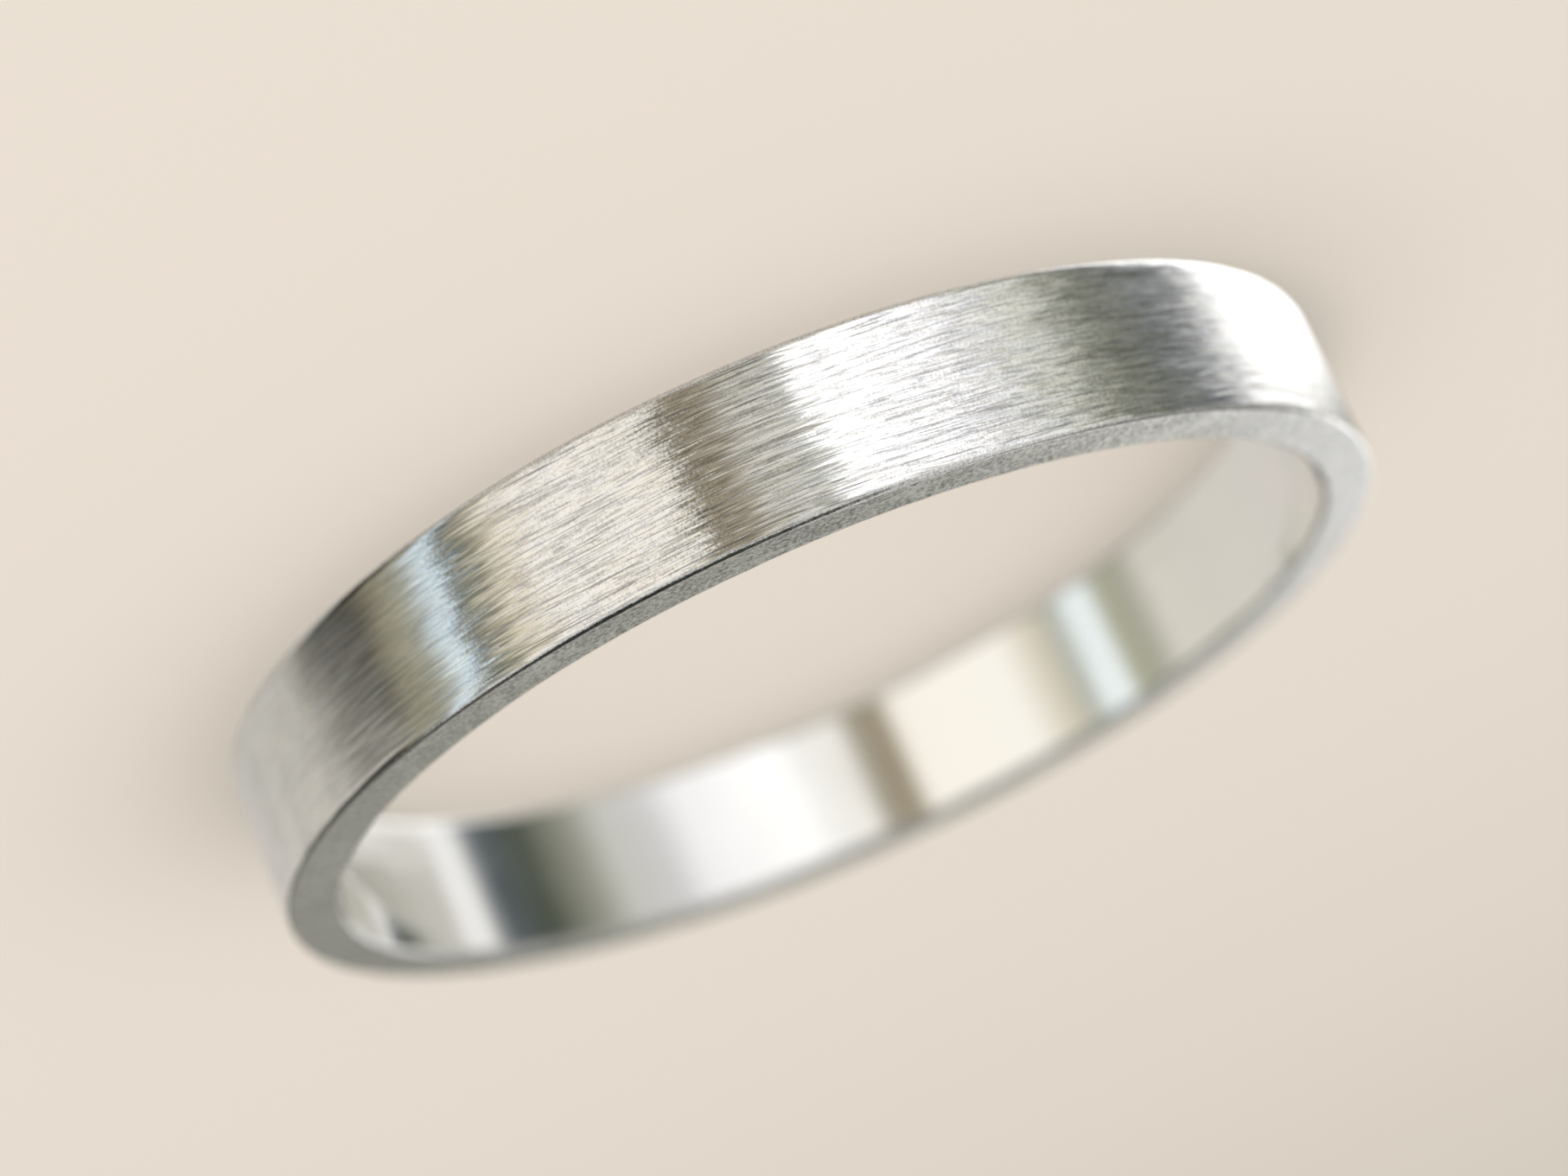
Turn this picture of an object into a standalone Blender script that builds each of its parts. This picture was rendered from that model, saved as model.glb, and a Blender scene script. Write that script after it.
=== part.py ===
"""A plain flat wedding band: one turned ring of white metal with a rectangular section.

The ring's own frame has its origin at the centre of the finger hole, half-way along the band's
width, and +Z along the finger. Units are metres.
"""

import math

import bpy

# Driving dimensions.
BORE_DIAMETER = 0.01976  # the finger hole of a US size 10, or a 62 mm inside circumference
WALL = 0.0010  # radial thickness of the flat strip
WIDTH = 0.0030  # width of the band along the finger
OUTER_EDGE_RADIUS = 0.00008  # crisp edges where the outside meets the flat sides
BORE_EDGE_RADIUS = 0.00012  # edges of the finger hole, eased a little more for comfort

# How finely the round shapes are divided.
TURN_STEPS = 128
EDGE_STEPS = 3

SAME_POINT = 1e-7  # points nearer than this are one point where the turning closes

# The finish of the whole ring, as one average of its brushed, satin and polished faces.
METAL_COLOUR = (0.90, 0.89, 0.87, 1.0)
METAL_ROUGHNESS = 0.28

BORE_RADIUS = BORE_DIAMETER / 2
OUTER_RADIUS = BORE_RADIUS + WALL
HALF_WIDTH = WIDTH / 2


def clear_scene():
    """Removes whatever the scene holds."""
    for old in list(bpy.data.objects):
        bpy.data.objects.remove(old)


def eased_edge(flank, side, radius, start):
    """A quarter round that eases one edge of the section, turning clockwise from the angle start.

    flank is the radius of the wall it joins, and side is the height of the flat side it joins.
    """
    centre_x = flank + math.copysign(radius, (BORE_RADIUS + OUTER_RADIUS) / 2 - flank)
    centre_z = side - math.copysign(radius, side)
    angles = [start - math.pi / 2 * step / EDGE_STEPS for step in range(EDGE_STEPS + 1)]
    return [(centre_x + radius * math.cos(a), 0.0, centre_z + radius * math.sin(a)) for a in angles]


def band_section():
    """The closed outline that is turned: down the outside, in below, up the bore and out on top."""
    quarter = math.pi / 2
    return (
        eased_edge(OUTER_RADIUS, HALF_WIDTH, OUTER_EDGE_RADIUS, quarter)
        + eased_edge(OUTER_RADIUS, -HALF_WIDTH, OUTER_EDGE_RADIUS, 0.0)
        + eased_edge(BORE_RADIUS, -HALF_WIDTH, BORE_EDGE_RADIUS, -quarter)
        + eased_edge(BORE_RADIUS, HALF_WIDTH, BORE_EDGE_RADIUS, -2 * quarter)
    )


def white_metal():
    """The ring's one metal, as a plain Principled BSDF."""
    material = bpy.data.materials.new("white_metal")
    material.use_nodes = True
    shader = material.node_tree.nodes["Principled BSDF"]
    shader.inputs["Base Color"].default_value = METAL_COLOUR
    shader.inputs["Metallic"].default_value = 1.0
    shader.inputs["Roughness"].default_value = METAL_ROUGHNESS
    material.diffuse_color = METAL_COLOUR
    return material


def make_band(collection):
    """The whole ring: its section turned once round the finger's axis."""
    section = band_section()
    count = len(section)
    mesh = bpy.data.meshes.new("band")
    mesh.from_pydata(section, [(i, (i + 1) % count) for i in range(count)], [])
    mesh.materials.append(white_metal())
    band = bpy.data.objects.new("band", mesh)
    collection.objects.link(band)

    turning = band.modifiers.new("turning", "SCREW")
    turning.axis = "Z"
    turning.angle = 2 * math.pi
    turning.steps = turning.render_steps = TURN_STEPS
    turning.use_merge_vertices = True
    turning.merge_threshold = SAME_POINT
    turning.use_smooth_shade = True

    # Flat faces keep their own normals, so that only the eased edges shade round.
    shading = band.modifiers.new("flat_sides", "WEIGHTED_NORMAL")
    shading.weight = 100
    return band


def main():
    clear_scene()
    collection = bpy.data.collections.new("wedding_band")
    bpy.context.scene.collection.children.link(collection)
    make_band(collection)


main()
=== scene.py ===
"""The looks of a plain flat wedding band in white metal.

One finely divided, hand-finished ring stands for the CAD band. Its outside is brushed along its
length, its flat sides are satin, its bore is polished and its edges are worn. It lies on a plain
pale floor, inside a ring of studio panels that only the metal reflects.

Azimuths are in degrees about +Z, from the camera's side (-Y) towards +X, and elevations are in
degrees above the horizon. The camera is rolled nearly upside down, so +X is at the picture's left.
Lengths are in metres, but the patterns in the metal are in millimetres.
"""

import math

import bpy
from mathutils import Matrix, Vector, noise


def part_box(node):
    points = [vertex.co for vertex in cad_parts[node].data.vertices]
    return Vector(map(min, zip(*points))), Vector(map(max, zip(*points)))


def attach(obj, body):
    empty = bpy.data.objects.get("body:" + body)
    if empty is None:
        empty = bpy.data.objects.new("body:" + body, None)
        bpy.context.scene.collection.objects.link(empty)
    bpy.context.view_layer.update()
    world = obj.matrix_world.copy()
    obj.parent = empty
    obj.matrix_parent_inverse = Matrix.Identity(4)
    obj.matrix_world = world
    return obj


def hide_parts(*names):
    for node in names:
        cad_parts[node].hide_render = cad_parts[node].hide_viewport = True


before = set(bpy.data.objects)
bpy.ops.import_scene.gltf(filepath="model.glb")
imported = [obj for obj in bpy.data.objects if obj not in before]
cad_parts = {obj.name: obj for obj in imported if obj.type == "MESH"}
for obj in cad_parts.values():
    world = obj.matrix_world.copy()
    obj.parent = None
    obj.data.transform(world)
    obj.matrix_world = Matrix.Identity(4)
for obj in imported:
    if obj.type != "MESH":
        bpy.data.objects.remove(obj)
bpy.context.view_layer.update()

MM = 0.001

# The ring, from the frame.
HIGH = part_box("band")[1]
OUTER_RADIUS = HIGH[0]
HALF_WIDTH = HIGH[2]
CAD_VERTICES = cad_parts["band"].data.vertices
BORE_RADIUS = min(math.hypot(vertex.co.x, vertex.co.y) for vertex in CAD_VERTICES)
MIDDLE_RADIUS = (BORE_RADIUS + OUTER_RADIUS) / 2

# How the ring is divided.
TURN_STEPS = 1080
EDGE_STEPS = 8
BRUSHED_STEPS = 3  # how many of those, next to the outside, the brushing runs over
BROAD_STEPS = 16  # along the width, outside and in the bore
SIDE_STEPS = 8  # across each flat side
EDGE_GUARD = 0.012 * MM  # a narrow strip beside each edge that keeps the flat faces shading flat

# The eased edges: how far each runs in from the corner, along the broad face and across the flat
# side. The seeds give each edge its own wear.
OUTER_EASE = (0.17 * MM, 0.07 * MM)
BORE_EASE = (0.10 * MM, 0.10 * MM)
OUTER_TOP_SEED, OUTER_BOTTOM_SEED = 1.5, 3.5
BORE_BOTTOM_SEED, BORE_TOP_SEED = 5.5, 7.5

# How wear changes the easing from place to place, as a share of it.
EDGE_WEAR = 0.30
WEAR_PARTS = ((0.6, 0.35, 0.0), (0.6, 2.2, 20.0))  # weight, cells a millimetre, and seed

# How far hand finishing leaves the surface from true: metres, and cells a millimetre.
WAVES = ((0.9e-6, 0.45), (0.25e-6, 1.6))

# Zones of the surface, in the order of the ring's material slots.
BRUSHED, SATIN, POLISHED, EDGE = range(4)

METAL = (0.93, 0.92, 0.90, 1.0)
WARM_METAL = (0.94, 0.92, 0.88, 1.0)
COOL_METAL = (0.92, 0.92, 0.92, 1.0)
BLACK = (0.0, 0.0, 0.0, 1.0)

# The camera. Its lens is wide open from its own place, which blurs the far side of the ring. From
# any other place the lens is closed, and the whole ring is sharp.
CAMERA_PLACE = Vector((0.0, -60.15 * MM, 18.78 * MM))
CAMERA_AIM = Vector((0.0, -8.40 * MM, HALF_WIDTH))
CAMERA_ROLL = 155.9
CAMERA_CLIP = (0.005, 10.0)
LENS = 76.8  # millimetres
SENSOR_WIDTH = 36.0  # millimetres
FOCUS_NEARER = 2.0 * MM  # how far in front of the aim the focus is
OPEN_LENS = 1.7 * MM  # width of the opening
CLOSED_LENS = 0.001 * MM
AWAY = 15 * MM  # how far from its place the camera is when the lens has closed, over 10 mm


# --------------------------------------------------------------------------------------------
# The ring's mesh
# --------------------------------------------------------------------------------------------

def edge_arc(flank, side, ease, start):
    """A quarter round from the angle start, turning clockwise, as (radius, height) points.

    flank is the radius of the wall it joins, and side is the height of the flat side it joins.
    """
    along, across = ease
    centre_r = flank + math.copysign(across, MIDDLE_RADIUS - flank)
    centre_z = side - math.copysign(along, side)
    points = []
    for step in range(EDGE_STEPS + 1):
        angle = start - math.pi / 2 * step / EDGE_STEPS
        points.append((centre_r + across * math.cos(angle), centre_z + along * math.sin(angle)))
    return points


def straight(start, end, steps):
    """Points between two corners, without the corners: a guard beside each, and even steps."""
    guard = EDGE_GUARD / math.dist(start, end)
    points = []
    for step in range(steps + 1):
        share = guard + (1 - 2 * guard) * step / steps
        points.append(tuple(a + (b - a) * share for a, b in zip(start, end)))
    return points


def outline(outer_top, outer_bottom, bore_bottom, bore_top):
    """The ring's section for these four eased edges, clockwise from the top of the outside."""
    quarter = math.pi / 2
    arcs = [
        edge_arc(OUTER_RADIUS, HALF_WIDTH, outer_top, quarter),
        edge_arc(OUTER_RADIUS, -HALF_WIDTH, outer_bottom, 0.0),
        edge_arc(BORE_RADIUS, -HALF_WIDTH, bore_bottom, -quarter),
        edge_arc(BORE_RADIUS, HALF_WIDTH, bore_top, -2 * quarter),
    ]
    steps = [BROAD_STEPS, SIDE_STEPS, BROAD_STEPS, SIDE_STEPS]
    points = []
    for i, arc in enumerate(arcs):
        points += arc + straight(arc[-1], arcs[(i + 1) % 4][0], steps[i])
    return points


def outline_zones():
    """The zone of each stretch of the outline, in the outline's order."""
    worn_steps = EDGE_STEPS - BRUSHED_STEPS
    outer_top = [EDGE] * worn_steps + [BRUSHED] * BRUSHED_STEPS
    outer_bottom = [BRUSHED] * BRUSHED_STEPS + [EDGE] * worn_steps
    bore_edge = [EDGE] * EDGE_STEPS
    outside = [BRUSHED] * (BROAD_STEPS + 2)
    side = [SATIN] * (SIDE_STEPS + 2)
    bore = [POLISHED] * (BROAD_STEPS + 2)
    return outer_top + outside + outer_bottom + side + bore_edge + bore + bore_edge + side


def worn(ease, place, seed):
    """An edge's easing at a place on the ring, as hand filing and wear have left it."""
    swing = 0.0
    for weight, cells, own_seed in WEAR_PARTS:
        swing += weight * noise.noise(place * cells / MM + Vector((0, 0, seed + own_seed)))
    share = 1 + EDGE_WEAR * swing
    return ease[0] * share, ease[1] * share


def wave(place):
    """How far hand finishing leaves the surface from true, in metres."""
    return sum(height * noise.noise(place * cells / MM) for height, cells in WAVES)


def section_points(outward):
    """The ring's section in this direction from its axis. Hand finishing only takes metal away."""
    corner = outward * OUTER_RADIUS
    section = outline(
        worn(OUTER_EASE, corner, OUTER_TOP_SEED),
        worn(OUTER_EASE, corner, OUTER_BOTTOM_SEED),
        worn(BORE_EASE, corner, BORE_BOTTOM_SEED),
        worn(BORE_EASE, corner, BORE_TOP_SEED),
    )
    points = []
    for radius, height in section:
        point = outward * radius + Vector((0, 0, height))
        into_metal = -1 if radius > MIDDLE_RADIUS else 1
        points.append(point + outward * (abs(wave(point)) * into_metal))
    return points


def make_ring():
    """The whole ring as one closed mesh."""
    zones = outline_zones()
    count = len(zones)
    vertices = []
    faces = []
    for turn in range(TURN_STEPS):
        angle = 2 * math.pi * turn / TURN_STEPS
        vertices += section_points(Vector((math.cos(angle), math.sin(angle), 0)))
        here = turn * count
        there = (turn + 1) % TURN_STEPS * count
        for i in range(count):
            j = (i + 1) % count
            faces.append((here + i, here + j, there + j, there + i))

    mesh = bpy.data.meshes.new("wedding_band")
    mesh.from_pydata(vertices, [], faces)
    mesh.polygons.foreach_set("material_index", zones * TURN_STEPS)
    mesh.shade_smooth()
    ring = bpy.data.objects.new("wedding_band", mesh)
    bpy.context.scene.collection.objects.link(ring)
    return ring


# --------------------------------------------------------------------------------------------
# Node helpers
# --------------------------------------------------------------------------------------------

def add(tree, kind, inputs=None, **settings):
    """Adds a node, sets its properties, and sets or links its inputs by name or number."""
    made = tree.nodes.new(kind)
    for name, value in settings.items():
        setattr(made, name, value)
    for key, value in (inputs or {}).items():
        if isinstance(value, bpy.types.NodeSocket):
            tree.links.new(value, made.inputs[key])
        else:
            made.inputs[key].default_value = value
    return made


def math_of(tree, operation, *values, clamp=False):
    """The result of a math operation on these values."""
    inputs = dict(enumerate(values))
    return add(tree, "ShaderNodeMath", inputs, operation=operation, use_clamp=clamp).outputs[0]


def vector_of(tree, operation, *vectors):
    """The result of a math operation on these vectors."""
    inputs = dict(enumerate(vectors))
    return add(tree, "ShaderNodeVectorMath", inputs, operation=operation).outputs[0]


def scaled(tree, vector, amount):
    """A vector made this many times as long."""
    inputs = {0: vector, "Scale": amount}
    return add(tree, "ShaderNodeVectorMath", inputs, operation="SCALE").outputs[0]


def weighted(tree, *pairs):
    """The sum of each value times its weight."""
    total = None
    for value, weight in pairs:
        part = math_of(tree, "MULTIPLY", value, weight)
        total = part if total is None else math_of(tree, "ADD", total, part)
    return total


def remap(tree, value, low, high, to_low=0.0, to_high=1.0, smooth=True):
    """Takes value from low..high to to_low..to_high, held at the ends."""
    kind = "SMOOTHSTEP" if smooth else "LINEAR"
    inputs = {
        "Value": value,
        "From Min": low,
        "From Max": high,
        "To Min": to_low,
        "To Max": to_high,
    }
    return add(tree, "ShaderNodeMapRange", inputs, interpolation_type=kind).outputs["Result"]


def mix_value(tree, share, a, b):
    """Value a, with this share of value b mixed in."""
    return add(tree, "ShaderNodeMix", {0: share, 2: a, 3: b}).outputs[0]


def mix_colour(tree, share, a, b):
    """Colour a, with this share of colour b mixed in."""
    return add(tree, "ShaderNodeMix", {0: share, 6: a, 7: b}, data_type="RGBA").outputs[2]


def ramp_of(tree, value, stops):
    """The colour at value, between (position, colour) stops."""
    made = add(tree, "ShaderNodeValToRGB", {0: value})
    ramp = made.color_ramp
    ramp.interpolation = "LINEAR"
    while len(ramp.elements) > 1:
        ramp.elements.remove(ramp.elements[-1])
    ramp.elements[0].position = stops[0][0]
    ramp.elements[0].color = (*stops[0][1], 1)
    for position, colour in stops[1:]:
        ramp.elements.new(position).color = (*colour, 1)
    return made.outputs[0]


def noise_of(tree, place, cells, detail=2.0, roughness=0.55):
    """Noise of this many cells a millimetre, one number for every way or one for each axis."""
    each_way = cells if isinstance(cells, tuple) else (cells,) * 3
    vector = vector_of(tree, "MULTIPLY", place, each_way)
    inputs = {"Vector": vector, "Scale": 1.0, "Detail": detail, "Roughness": roughness}
    return add(tree, "ShaderNodeTexNoise", inputs).outputs[0]


def centred(tree, pattern):
    """A noise pattern with its middle taken to zero."""
    return math_of(tree, "SUBTRACT", pattern, 0.5)


# --------------------------------------------------------------------------------------------
# The metal
# --------------------------------------------------------------------------------------------

# Streaks drawn out round the ring: their length, their width and how far they wander up and down,
# in millimetres, and a seed for a pattern of their own.
HAIR = (0.26, 0.034, 0.06, 1)
FINE = (1.20, 0.040, 0.10, 2)
BROAD = (3.20, 0.070, 0.14, 3)
GROOVE_SHADE_LINES = (1.60, 0.034, 0.22, 4)
SWING = (0.60, 0.036, 0.12, 5)
MOP = (5.0, 0.06, 0.2, 6)
NICK_SHADE_LINES = (0.45, 0.028, 0.16, 7)
TINT = (0.70, 0.060, 0.12, 8)
SEED_STEP = 7.0  # millimetres along the finger from one seed's pattern to the next
WANDER_CELLS = (0.16, 0.16, 0.10)  # cells a millimetre
WANDER_GAIN = 4.0  # noise strays about a quarter from its middle, and this takes that to one

# Scratches across the flat sides: their angle in degrees, their length and the gap between them in
# millimetres, and how far from its middle the noise still counts as a line.
SCRATCHES = (
    (15, 1.8, 0.30, 0.040),
    (63, 1.4, 0.38, 0.030),
    (118, 1.6, 0.34, 0.040),
    (160, 1.2, 0.42, 0.030),
)
SCRATCH_RISE_CELLS = 0.3  # cells a millimetre along the finger

# Plain noise, in cells a millimetre.
SPECK_CELLS = 24.0
SWAY_CELLS = (0.7, 0.7, 1.0)
CLOUD_CELLS = 1.1
SATIN_GRAIN_CELLS = 12.0
BLOTCH_CELLS = 3.0
RARE_CELLS = 1.0
SMEAR_CELLS = 0.8
MARK_CELLS = 9.0
EDGE_SHADE_CELLS = 25.0

# What patterns become: two values of the pattern, then the two results they are taken to, held
# beyond them. A shade is a share of the metal's full brightness.
TONE_TO_SHADE = (0.38, 0.54, 0.68, 1.0)
# The painted shade in the brushing's grooves, darkest beside the edges, and in its nicks.
HEIGHT_TO_GROOVE_SHADE = (0.9, 1.4, 0.70, 0.45)  # from millimetres off the middle of the width
GROOVE_SHADE_FROM, GROOVE_SHADE_TO = 0.60, 0.70
NICK_TO_SHADE = (0.56, 0.64, 1.0, 0.72)
CLOUD_TO_SHADE = (0.3, 0.7, 0.79, 0.93)
TINT_TO_SHARE = (0.35, 0.65, 0.0, 1.0)
SATIN_TO_SHARE = (0.34, 0.66, 0.0, 1.0)
RARE_TO_SHARE = (0.40, 0.64, 0.30, 1.0)
# The edges' mottled painted shade.
EDGE_MOTTLE_TO_SHADE = (0.3, 0.7, 0.60, 1.0)
BLOTCH_TO_ROUGHNESS = (0.3, 0.7, 0.23, 0.28)
SMEAR_TO_ROUGHNESS = (0.3, 0.7, 0.08, 0.12)
MARK_TO_ROUGHNESS = (0.3, 0.7, 0.14, 0.26)

# How much each pattern adds: to the brushing's tone, which is random and also painted shade in its
# fine lines, to its lean round the ring, to its lean along the finger, and to the satin's shade.
SPECK_TONE, HAIR_TONE, FINE_TONE, BROAD_TONE = 0.46, 0.22, 0.16, 0.16
SWING_LEAN, DEEP_LEAN, JITTER_LEAN, SWAY_LEAN = 0.09, 0.11, 0.07, 0.05
FINE_RISE = 0.35
GRAIN_SHADE, BLOTCH_SHADE, SCRATCH_SHADE = 0.62, 0.12, 0.40

# Both ends of the ring are rubbed smoother than the front: from millimetres along X to a share.
BRUSHED_RUBBED_LEFT = (2.8, 7.2, 0.0, 1.0)
BRUSHED_RUBBED_RIGHT = (-9.4, -7.8, 1.0, 0.0)
SATIN_RUBBED_LEFT = (2.8, 8.6, 0.0, 0.55)
SATIN_RUBBED_RIGHT = (-9.6, -5.0, 0.55, 0.0)
SMEARED = 0.78  # how much of the brushing's shade is lost where it is rubbed
STEADIED = 0.15  # how much of its lean is left there
ANISOTROPY, RUBBED_ANISOTROPY = 1.0, 0.6
BRUSHED_ROUGHNESS = 0.16
SATIN_BASE_SHADE = 0.25
SATIN_RUBBED_SHADE = 0.64

# Ripples that tip the surface every way: cells a millimetre, and how far they tip it.
SATIN_RIPPLES = (10.0, 0.10)
EDGE_RIPPLES = (14.0, 0.14)
MOP_LEAN = 0.02


def start_metal(name):
    """A new metal: its material, node tree and Principled shader, and the place in millimetres."""
    material = bpy.data.materials.new(name)
    material.use_nodes = True
    tree = material.node_tree
    shader = tree.nodes["Principled BSDF"]
    shader.inputs["Base Color"].default_value = METAL
    shader.inputs["Metallic"].default_value = 1.0
    place = add(tree, "ShaderNodeTexCoord").outputs["Object"]
    return material, tree, shader, scaled(tree, place, 1 / MM)


def streaks(tree, place, length, width, wander, seed):
    """Noise drawn out round the ring, as grain of this length and width."""
    place = vector_of(tree, "ADD", place, (0.0, 0.0, SEED_STEP * seed))
    bend = centred(tree, noise_of(tree, place, WANDER_CELLS, detail=0.0))
    rise = math_of(tree, "MULTIPLY", bend, WANDER_GAIN * wander)
    shift = add(tree, "ShaderNodeCombineXYZ", {2: rise}).outputs[0]
    place = vector_of(tree, "ADD", place, shift)
    return noise_of(tree, place, (1 / length, 1 / length, 1 / width), detail=0.0)


def surface_normal(tree):
    """The surface's own normal."""
    return add(tree, "ShaderNodeNewGeometry").outputs["Normal"]


def tipped(tree, normal, *tips):
    """The normal with these tips added, brought back to a length of one."""
    for tip in tips:
        normal = vector_of(tree, "ADD", normal, tip)
    return vector_of(tree, "NORMALIZE", normal)


def lean(tree, around, up):
    """The surface's normal, leaning this far round the ring and this far along the finger."""
    normal = surface_normal(tree)
    finger = (0.0, 0.0, 1.0)
    circling = vector_of(tree, "CROSS_PRODUCT", finger, normal)
    return tipped(tree, normal, scaled(tree, circling, around), scaled(tree, finger, up))


def rippled(tree, place, cells, amount):
    """The surface's normal, tipped every way by noise of this many cells a millimetre."""
    inputs = {"Vector": place, "Scale": cells, "Detail": 2.0}
    colour = add(tree, "ShaderNodeTexNoise", inputs).outputs["Color"]
    tip = vector_of(tree, "SUBTRACT", colour, (0.5, 0.5, 0.5))
    return tipped(tree, surface_normal(tree), scaled(tree, tip, amount))


def rubbed_ends(tree, place, left, right):
    """How far the metal is rubbed smooth here, by these remaps of X at the two ends."""
    x = add(tree, "ShaderNodeSeparateXYZ", {0: place}).outputs["X"]
    return math_of(tree, "MAXIMUM", remap(tree, x, *left), remap(tree, x, *right))


def shaded(tree, shade, colour=METAL):
    """The metal's colour, darkened to this shade."""
    return mix_colour(tree, shade, BLACK, colour)


def brushed_shade(tree, place, speck, fine, rubbed):
    """How bright the brushing is: random tone, with painted shade in its lines, grooves and nicks,
    rubbed at the ends.
    """
    hair = streaks(tree, place, *HAIR)
    broad = streaks(tree, place, *BROAD)
    parts = ((speck, SPECK_TONE), (hair, HAIR_TONE), (fine, FINE_TONE), (broad, BROAD_TONE))
    # Random tone, whose darker lines also stand in for the shade in the fine grooves: painted
    # shade.
    tone = weighted(tree, *parts)
    shade = remap(tree, tone, *TONE_TO_SHADE, smooth=False)

    # The grooves hold painted shade, darkest beside the edges.
    z = add(tree, "ShaderNodeSeparateXYZ", {0: place}).outputs["Z"]
    deepest_groove_shade = remap(tree, math_of(tree, "ABSOLUTE", z), *HEIGHT_TO_GROOVE_SHADE)
    groove_shade = remap(tree, streaks(tree, place, *GROOVE_SHADE_LINES), GROOVE_SHADE_FROM, GROOVE_SHADE_TO, 1.0, deepest_groove_shade)
    # Painted shade in the nicks.
    nick_shade = remap(tree, streaks(tree, place, *NICK_SHADE_LINES), *NICK_TO_SHADE)
    shade = math_of(tree, "MULTIPLY", shade, groove_shade)
    shade = math_of(tree, "MULTIPLY", shade, nick_shade)

    cloud = remap(tree, noise_of(tree, place, CLOUD_CELLS), *CLOUD_TO_SHADE)
    return mix_value(tree, math_of(tree, "MULTIPLY", rubbed, SMEARED), shade, cloud)


def brushed_normal(tree, place, speck, fine, rubbed):
    """How the brushing leans, round the ring and along the finger: less where it is rubbed."""
    swing = centred(tree, streaks(tree, place, *SWING))
    # Cubed, only the deepest lines of the swing are left.
    deep = math_of(tree, "POWER", math_of(tree, "MULTIPLY", swing, 2.0), 3.0)
    jitter = centred(tree, speck)
    sway = centred(tree, noise_of(tree, place, SWAY_CELLS, detail=1.0))
    steady = remap(tree, rubbed, 0.0, 1.0, 1.0, STEADIED)
    around = weighted(tree, (swing, SWING_LEAN), (deep, DEEP_LEAN), (jitter, JITTER_LEAN))
    around = math_of(tree, "MULTIPLY", around, steady)
    around = weighted(tree, (around, 1.0), (sway, SWAY_LEAN))
    up = math_of(tree, "MULTIPLY", weighted(tree, (fine, FINE_RISE), (0.5, -FINE_RISE)), steady)
    return lean(tree, around, up)


def brushed_metal():
    """The outside: drawn along its length with coarse paper, in lines up to a few millimetres."""
    material, tree, shader, place = start_metal("brushed_metal")
    speck = noise_of(tree, place, SPECK_CELLS, detail=1.0)
    fine = streaks(tree, place, *FINE)
    rubbed = rubbed_ends(tree, place, BRUSHED_RUBBED_LEFT, BRUSHED_RUBBED_RIGHT)

    tint = remap(tree, streaks(tree, place, *TINT), *TINT_TO_SHARE)
    colour = mix_colour(tree, tint, WARM_METAL, COOL_METAL)
    shade = brushed_shade(tree, place, speck, fine, rubbed)
    tree.links.new(shaded(tree, shade, colour), shader.inputs["Base Color"])
    normal = brushed_normal(tree, place, speck, fine, rubbed)
    tree.links.new(normal, shader.inputs["Normal"])

    shader.inputs["Roughness"].default_value = BRUSHED_ROUGHNESS
    anisotropy = remap(tree, rubbed, 0.0, 1.0, ANISOTROPY, RUBBED_ANISOTROPY)
    tree.links.new(anisotropy, shader.inputs["Anisotropic"])
    along_finger = add(tree, "ShaderNodeCombineXYZ", {2: 1.0}).outputs[0]
    tree.links.new(along_finger, shader.inputs["Tangent"])
    return material


def hairlines(tree, place, angle, length, gap, thin):
    """Thin scratches across a flat side, all within a few degrees of one angle."""
    inputs = {"Vector": place, "Angle": math.radians(angle)}
    turned = add(tree, "ShaderNodeVectorRotate", inputs, rotation_type="Z_AXIS").outputs[0]
    pattern = noise_of(tree, turned, (1 / length, 1 / gap, SCRATCH_RISE_CELLS), detail=1.0)
    off_line = math_of(tree, "ABSOLUTE", centred(tree, pattern))
    return remap(tree, off_line, 0.0, thin, 1.0, 0.0)


def all_hairlines(tree, place):
    """The scratches of every angle, fainter in some places than in others."""
    scratch = 0.0
    for scratches in SCRATCHES:
        scratch = math_of(tree, "MAXIMUM", scratch, hairlines(tree, place, *scratches))
    rare = remap(tree, noise_of(tree, place, RARE_CELLS, detail=1.0), *RARE_TO_SHARE)
    return math_of(tree, "MULTIPLY", scratch, rare)


def satin_metal():
    """The flat sides: rubbed on fine paper, with scratches in every direction."""
    material, tree, shader, place = start_metal("satin_metal")
    grain = noise_of(tree, place, SATIN_GRAIN_CELLS, detail=3.0, roughness=0.7)
    grain = remap(tree, grain, *SATIN_TO_SHARE)
    blotch = noise_of(tree, place, BLOTCH_CELLS, roughness=0.6)
    cloud = remap(tree, blotch, *SATIN_TO_SHARE)
    scratch = all_hairlines(tree, place)
    parts = ((grain, GRAIN_SHADE), (cloud, BLOTCH_SHADE), (scratch, SCRATCH_SHADE))
    shade = weighted(tree, *parts)
    shade = math_of(tree, "ADD", shade, SATIN_BASE_SHADE, clamp=True)
    rubbed = rubbed_ends(tree, place, SATIN_RUBBED_LEFT, SATIN_RUBBED_RIGHT)
    shade = mix_value(tree, rubbed, shade, SATIN_RUBBED_SHADE)
    tree.links.new(shaded(tree, shade), shader.inputs["Base Color"])
    tree.links.new(rippled(tree, place, *SATIN_RIPPLES), shader.inputs["Normal"])
    tree.links.new(remap(tree, blotch, *BLOTCH_TO_ROUGHNESS), shader.inputs["Roughness"])
    return material


def polished_metal():
    """The bore: polished, with the faint lines of the polishing mop round it."""
    material, tree, shader, place = start_metal("polished_metal")
    mop = centred(tree, streaks(tree, place, *MOP))
    smear = noise_of(tree, place, SMEAR_CELLS)
    normal = lean(tree, 0.0, math_of(tree, "MULTIPLY", mop, MOP_LEAN))
    tree.links.new(normal, shader.inputs["Normal"])
    tree.links.new(remap(tree, smear, *SMEAR_TO_ROUGHNESS), shader.inputs["Roughness"])
    return material


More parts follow.
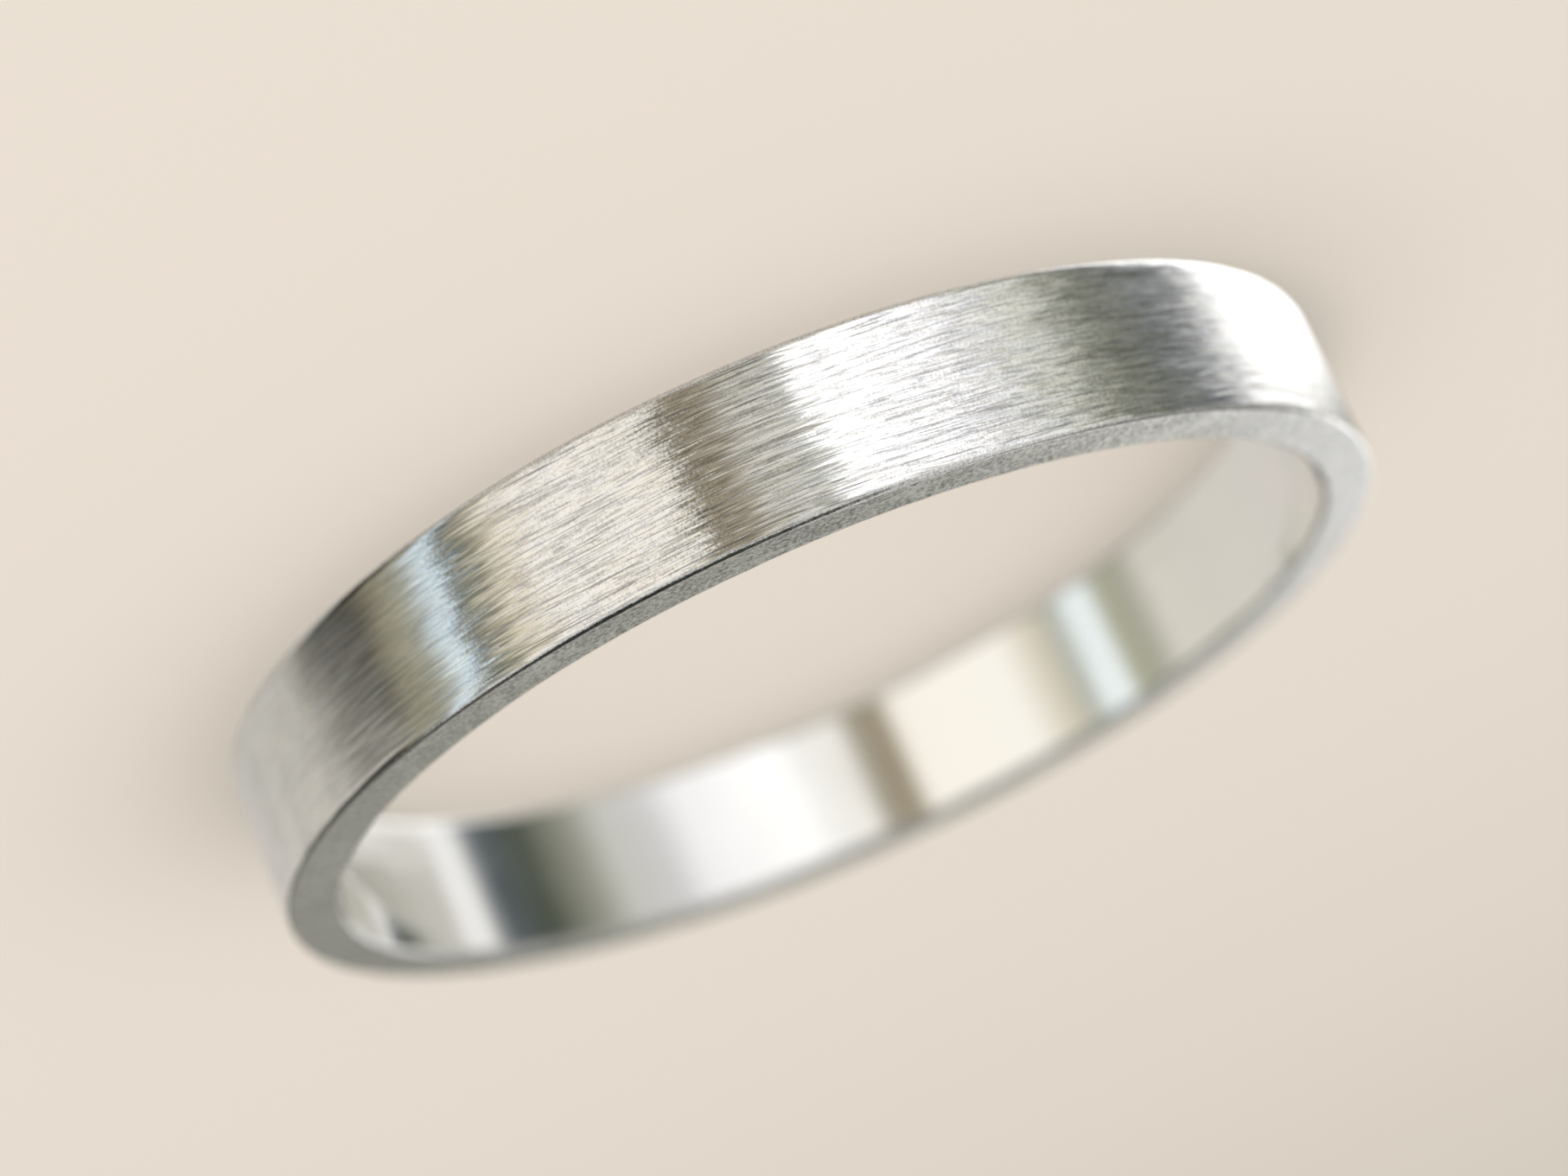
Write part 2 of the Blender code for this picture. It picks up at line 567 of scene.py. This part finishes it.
def edge_metal():
    """The eased edges: filed by hand, then rubbed smooth by wear, with mottled painted shade."""
    material, tree, shader, place = start_metal("edge_metal")
    marks = noise_of(tree, place, MARK_CELLS)
    # Mottled painted shade, which deepens the dark line that the edges reflect.
    grain = noise_of(tree, place, EDGE_SHADE_CELLS)
    shade = remap(tree, grain, *EDGE_MOTTLE_TO_SHADE)
    tree.links.new(shaded(tree, shade), shader.inputs["Base Color"])
    tree.links.new(rippled(tree, place, *EDGE_RIPPLES), shader.inputs["Normal"])
    tree.links.new(remap(tree, marks, *MARK_TO_ROUGHNESS), shader.inputs["Roughness"])
    return material


# --------------------------------------------------------------------------------------------
# Studio
# --------------------------------------------------------------------------------------------

# What the metal sees is given by direction from the ring, and X and Y are the parts of a direction
# that is one long.

# Panels round the ring, as its outside sees them: (azimuth, colour) along their run.
PANELS = [
    (-180, (0.60, 0.59, 0.56)),
    (-170, (0.90, 0.90, 0.88)),
    (-163, (2.55, 2.58, 2.60)),
    (-122, (2.50, 2.52, 2.53)),
    (-113, (0.95, 0.96, 0.96)),
    (-106, (0.58, 0.59, 0.61)),
    (-97, (0.28, 0.29, 0.29)),
    (-78, (0.25, 0.26, 0.21)),
    (-65, (0.86, 0.87, 0.79)),
    (-50, (1.09, 1.09, 1.11)),
    (-40, (1.50, 1.50, 1.53)),
    (-30, (1.74, 1.74, 1.76)),
    (-19, (1.86, 1.86, 1.87)),
    (-17, (0.50, 0.50, 0.45)),
    (-3, (0.45, 0.43, 0.36)),
    (0, (0.31, 0.27, 0.20)),
    (6, (0.30, 0.26, 0.19)),
    (9, (0.42, 0.41, 0.36)),
    (10.5, (0.69, 0.67, 0.61)),
    (15, (0.98, 0.94, 0.87)),
    (40, (0.98, 0.94, 0.89)),
    (49, (0.88, 0.80, 0.63)),
    (55, (0.24, 0.23, 0.15)),
    (60.5, (0.03, 0.04, 0.05)),
    (62.5, (0.94, 1.16, 1.32)),
    (66.5, (0.66, 0.78, 0.84)),
    (69, (0.40, 0.41, 0.36)),
    (75, (0.38, 0.34, 0.23)),
    (83, (0.01, 0.01, 0.01)),
    (96, (0.06, 0.06, 0.05)),
    (111, (0.58, 0.56, 0.51)),
    (180, (0.60, 0.59, 0.56)),
]

# What the bore sees: a low shelf of the same studio, nearly level with the ring.
SHELF_STRENGTH = 1.25
SHELF = [
    (-180, (0.35, 0.35, 0.33)),
    (-150, (0.30, 0.29, 0.25)),
    (-118, (0.46, 0.45, 0.41)),
    (-114, (0.73, 0.72, 0.71)),
    (-107, (0.70, 0.70, 0.69)),
    (-104, (0.28, 0.29, 0.29)),
    (-100, (0.07, 0.085, 0.095)),
    (-86, (0.06, 0.07, 0.05)),
    (-72, (0.26, 0.26, 0.22)),
    (-64, (0.47, 0.47, 0.44)),
    (-52, (0.50, 0.50, 0.50)),
    (-44, (0.75, 0.75, 0.76)),
    (-18, (0.90, 0.90, 0.89)),
    (-12, (0.79, 0.78, 0.76)),
    (-3, (0.74, 0.72, 0.68)),
    (1, (0.30, 0.27, 0.21)),
    (8, (0.25, 0.21, 0.14)),
    (12, (0.82, 0.78, 0.71)),
    (40, (0.82, 0.79, 0.73)),
    (50, (0.54, 0.50, 0.40)),
    (57, (0.36, 0.38, 0.34)),
    (60, (0.72, 0.78, 0.78)),
    (66, (0.74, 0.79, 0.79)),
    (70, (0.33, 0.33, 0.24)),
    (77, (0.33, 0.33, 0.27)),
    (84, (0.57, 0.55, 0.49)),
    (150, (0.54, 0.51, 0.48)),
    (180, (0.35, 0.35, 0.33)),
]
SHELF_FROM, SHELF_TO = -18.0, -8.0  # elevations of its lower and upper edges
SHELF_FOOT, SHELF_TOP = 0.3, 2.0  # how soft those edges are, in degrees either way

# Overhead, seen by the flat side and the edges: dark in front and towards +X, and light in two
# places towards -X.
OVERHEAD = [
    (-180, (0.38, 0.38, 0.35)),
    (-178, (0.34, 0.34, 0.31)),
    (-176, (0.35, 0.35, 0.32)),
    (-173, (0.50, 0.50, 0.46)),
    (-170, (0.92, 0.92, 0.91)),
    (-140, (1.00, 1.00, 1.00)),
    (-122, (0.22, 0.22, 0.22)),
    (-76, (0.25, 0.25, 0.23)),
    (-60, (0.80, 0.80, 0.79)),
    (-34, (0.70, 0.70, 0.68)),
    (-20, (0.08, 0.08, 0.07)),
    (5, (0.04, 0.04, 0.03)),
    (50, (0.03, 0.03, 0.03)),
    (80, (0.09, 0.09, 0.08)),
    (110, (0.22, 0.22, 0.20)),
    (140, (0.32, 0.32, 0.29)),
    (165, (0.48, 0.47, 0.42)),
    (176, (0.46, 0.46, 0.41)),
    (180, (0.38, 0.38, 0.35)),
]
FRONT_TOP, BACK_TOP = 0.0, -12.0  # elevations where it starts to take over from the panels
TOP_SOFTNESS = 0.3  # how far in Y, either way, the change from front to back takes
PANEL_FADE = 10.0  # how many degrees it takes to take over

# Its brightness low down, as a share of that higher up, at the picture's left (+X) and right.
LEFT_FOOT, RIGHT_FOOT = 0.40, 1.70
FOOT_FROM, FOOT_TO = 10, 18  # elevations
FOOT_SOFTNESS = 0.1  # how far in X, either way, the change from side to side takes

# Straight up.
ZENITH = (0.56, 0.56, 0.55, 1.0)
ZENITH_FROM, ZENITH_TO = 74, 88  # elevations over which it takes over

# A pale strip low down in front, which the flat side shows when it is seen from behind.
STRIP = (0.80, 0.80, 0.78, 1.0)
STRIP_FROM, STRIP_TO = 15.0, 25.0  # elevations over which it fades out
STRIP_FRONT, STRIP_END = -0.45, -0.15  # in Y, where it fades out towards the back

# The table that the ring lies on, in the ring's own shade.
BELOW = (0.60, 0.56, 0.50, 1.0)
BELOW_FROM, BELOW_TO = -40.0, -56.0  # elevations over which it takes over

# What the camera sees past the floor, and the even light on it.
BACKDROP = (0.79, 0.73, 0.66, 1.0)
AMBIENT = (0.80, 0.78, 0.75, 1.0)

FLOOR = (0.80, 0.74, 0.67, 1.0)
FLOOR_ROUGHNESS = 0.9
FLOOR_SPECULAR = 0.1
FLOOR_REACH = 1.5

KEY_SIZE = 0.14
KEY_ENERGY = 0.16  # watts
KEY_COLOUR = (1.0, 0.97, 0.93)
KEY_PLACE = (0.03, -0.11, 0.22)


def panel_ramp(tree, turn, stops):
    """The light at this share of a full turn, from stops given as azimuth and colour."""
    return ramp_of(tree, turn, [((azimuth + 180) / 360, colour) for azimuth, colour in stops])


def overhead_light(tree, turn, elevation, x, y):
    """What the metal sees above the panels."""
    side_foot = remap(tree, x, -FOOT_SOFTNESS, FOOT_SOFTNESS, RIGHT_FOOT, LEFT_FOOT)
    foot = remap(tree, elevation, FOOT_FROM, FOOT_TO, side_foot, 1.0)
    overhead = scaled(tree, panel_ramp(tree, turn, OVERHEAD), foot)
    low = remap(tree, elevation, STRIP_FROM, STRIP_TO, 1.0, 0.0)
    in_front = remap(tree, y, STRIP_FRONT, STRIP_END, 1.0, 0.0)
    return mix_colour(tree, math_of(tree, "MULTIPLY", low, in_front), overhead, STRIP)


def metal_sight(tree):
    """What the metal sees in each direction, built up from the panels."""
    direction = add(tree, "ShaderNodeTexCoord").outputs["Generated"]
    x, y, z = add(tree, "ShaderNodeSeparateXYZ", {0: direction}).outputs
    azimuth = math_of(tree, "ARCTAN2", x, math_of(tree, "MULTIPLY", y, -1.0))
    turn = math_of(tree, "ADD", math_of(tree, "DIVIDE", azimuth, 2 * math.pi), 0.5)
    elevation = math_of(tree, "DEGREES", math_of(tree, "ARCSINE", z))

    shelf = scaled(tree, panel_ramp(tree, turn, SHELF), SHELF_STRENGTH)
    over_foot = remap(tree, elevation, SHELF_FROM - SHELF_FOOT, SHELF_FROM + SHELF_FOOT)
    under_top = remap(tree, elevation, SHELF_TO - SHELF_TOP, SHELF_TO + SHELF_TOP, 1.0, 0.0)
    on_shelf = math_of(tree, "MULTIPLY", over_foot, under_top)
    sight = mix_colour(tree, on_shelf, panel_ramp(tree, turn, PANELS), shelf)

    top = remap(tree, y, -TOP_SOFTNESS, TOP_SOFTNESS, FRONT_TOP, BACK_TOP)
    above = remap(tree, elevation, top, math_of(tree, "ADD", top, PANEL_FADE))
    sight = mix_colour(tree, above, sight, overhead_light(tree, turn, elevation, x, y))
    sight = mix_colour(tree, remap(tree, elevation, ZENITH_FROM, ZENITH_TO), sight, ZENITH)
    below = remap(tree, elevation, BELOW_TO, BELOW_FROM, 1.0, 0.0)
    return mix_colour(tree, below, sight, BELOW)


def background(tree, colour):
    """The world's light in this colour."""
    return add(tree, "ShaderNodeBackground", {"Color": colour}).outputs[0]


def make_world():
    """The studio: panels for the metal, a pale backdrop for the camera, and even light."""
    world = bpy.data.worlds.new("studio")
    bpy.context.scene.world = world
    world.use_nodes = True
    world.cycles.sampling_method = "NONE"
    tree = world.node_tree
    tree.nodes.clear()

    ray = add(tree, "ShaderNodeLightPath").outputs
    even = background(tree, AMBIENT)
    backdrop = background(tree, BACKDROP)
    panels = background(tree, metal_sight(tree))
    inputs = {0: ray["Is Camera Ray"], 1: even, 2: backdrop}
    light = add(tree, "ShaderNodeMixShader", inputs).outputs[0]
    inputs = {0: ray["Is Glossy Ray"], 1: light, 2: panels}
    light = add(tree, "ShaderNodeMixShader", inputs).outputs[0]
    add(tree, "ShaderNodeOutputWorld", {0: light})


def make_floor():
    """A plain pale floor under the ring, which the metal doesn't reflect."""
    mesh = bpy.data.meshes.new("floor")
    signs = ((-1, -1), (1, -1), (1, 1), (-1, 1))
    corners = [(FLOOR_REACH * x, FLOOR_REACH * y, -HALF_WIDTH) for x, y in signs]
    mesh.from_pydata(corners, [], [(0, 1, 2, 3)])
    floor = bpy.data.objects.new("floor", mesh)
    bpy.context.scene.collection.objects.link(floor)
    material = bpy.data.materials.new("pale_floor")
    material.use_nodes = True
    shader = material.node_tree.nodes["Principled BSDF"]
    shader.inputs["Base Color"].default_value = FLOOR
    shader.inputs["Roughness"].default_value = FLOOR_ROUGHNESS
    shader.inputs["Specular IOR Level"].default_value = FLOOR_SPECULAR
    mesh.materials.append(material)
    floor.visible_glossy = False


def make_key_light():
    """One large soft light from the camera's side, high up, which the metal doesn't reflect."""
    lamp = bpy.data.lights.new("key", "AREA")
    lamp.shape = "DISK"
    lamp.size = KEY_SIZE
    lamp.energy = KEY_ENERGY
    lamp.color = KEY_COLOUR
    key = bpy.data.objects.new("key", lamp)
    bpy.context.scene.collection.objects.link(key)
    key.location = KEY_PLACE
    key.rotation_euler = key.location.to_track_quat("Z", "Y").to_euler()
    key.visible_glossy = False


# --------------------------------------------------------------------------------------------
# Camera
# --------------------------------------------------------------------------------------------

def open_lens(camera, stand):
    """Opens the lens while the camera is at its stand, and closes it away from there."""
    curve = camera.data.dof.driver_add("aperture_fstop")
    curve.driver.type = "SUM"
    away = curve.driver.variables.new()
    away.name = "away"
    away.type = "LOC_DIFF"
    away.targets[0].id = camera
    away.targets[1].id = stand

    # The curve takes that distance to the f-number. Points within 0.01 would become one.
    for old in list(curve.modifiers):
        curve.modifiers.remove(old)
    curve.keyframe_points.clear()
    for distance, opening in ((0.0, OPEN_LENS), (AWAY, CLOSED_LENS)):
        stop = LENS * MM / opening
        point = curve.keyframe_points.insert(distance, stop, options={"FAST"})
        point.interpolation = "LINEAR"
    curve.extrapolation = "CONSTANT"
    curve.update()


def make_camera():
    """The camera, rolled nearly upside down, and a stand that marks its place."""
    data = bpy.data.cameras.new("camera")
    camera = bpy.data.objects.new("camera", data)
    bpy.context.scene.collection.objects.link(camera)
    data.lens = LENS
    data.sensor_width = SENSOR_WIDTH
    data.clip_start, data.clip_end = CAMERA_CLIP
    sight = CAMERA_AIM - CAMERA_PLACE
    aimed = sight.to_track_quat("-Z", "Y").to_matrix().to_4x4()
    rolled = Matrix.Rotation(math.radians(CAMERA_ROLL), 4, "Z")
    camera.matrix_world = Matrix.Translation(CAMERA_PLACE) @ aimed @ rolled
    bpy.context.scene.camera = camera

    stand = bpy.data.objects.new("camera_stand", None)
    bpy.context.scene.collection.objects.link(stand)
    stand.location = CAMERA_PLACE

    data.dof.use_dof = True
    data.dof.focus_distance = sight.length - FOCUS_NEARER
    open_lens(camera, stand)


def main():
    """Builds the ring, its studio and its camera."""
    ring = make_ring()
    for material in (brushed_metal(), satin_metal(), polished_metal(), edge_metal()):
        ring.data.materials.append(material)
    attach(ring, "root")
    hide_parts("band")
    make_world()
    make_floor()
    make_key_light()
    make_camera()
    bpy.context.scene.view_settings.view_transform = "Standard"


main()
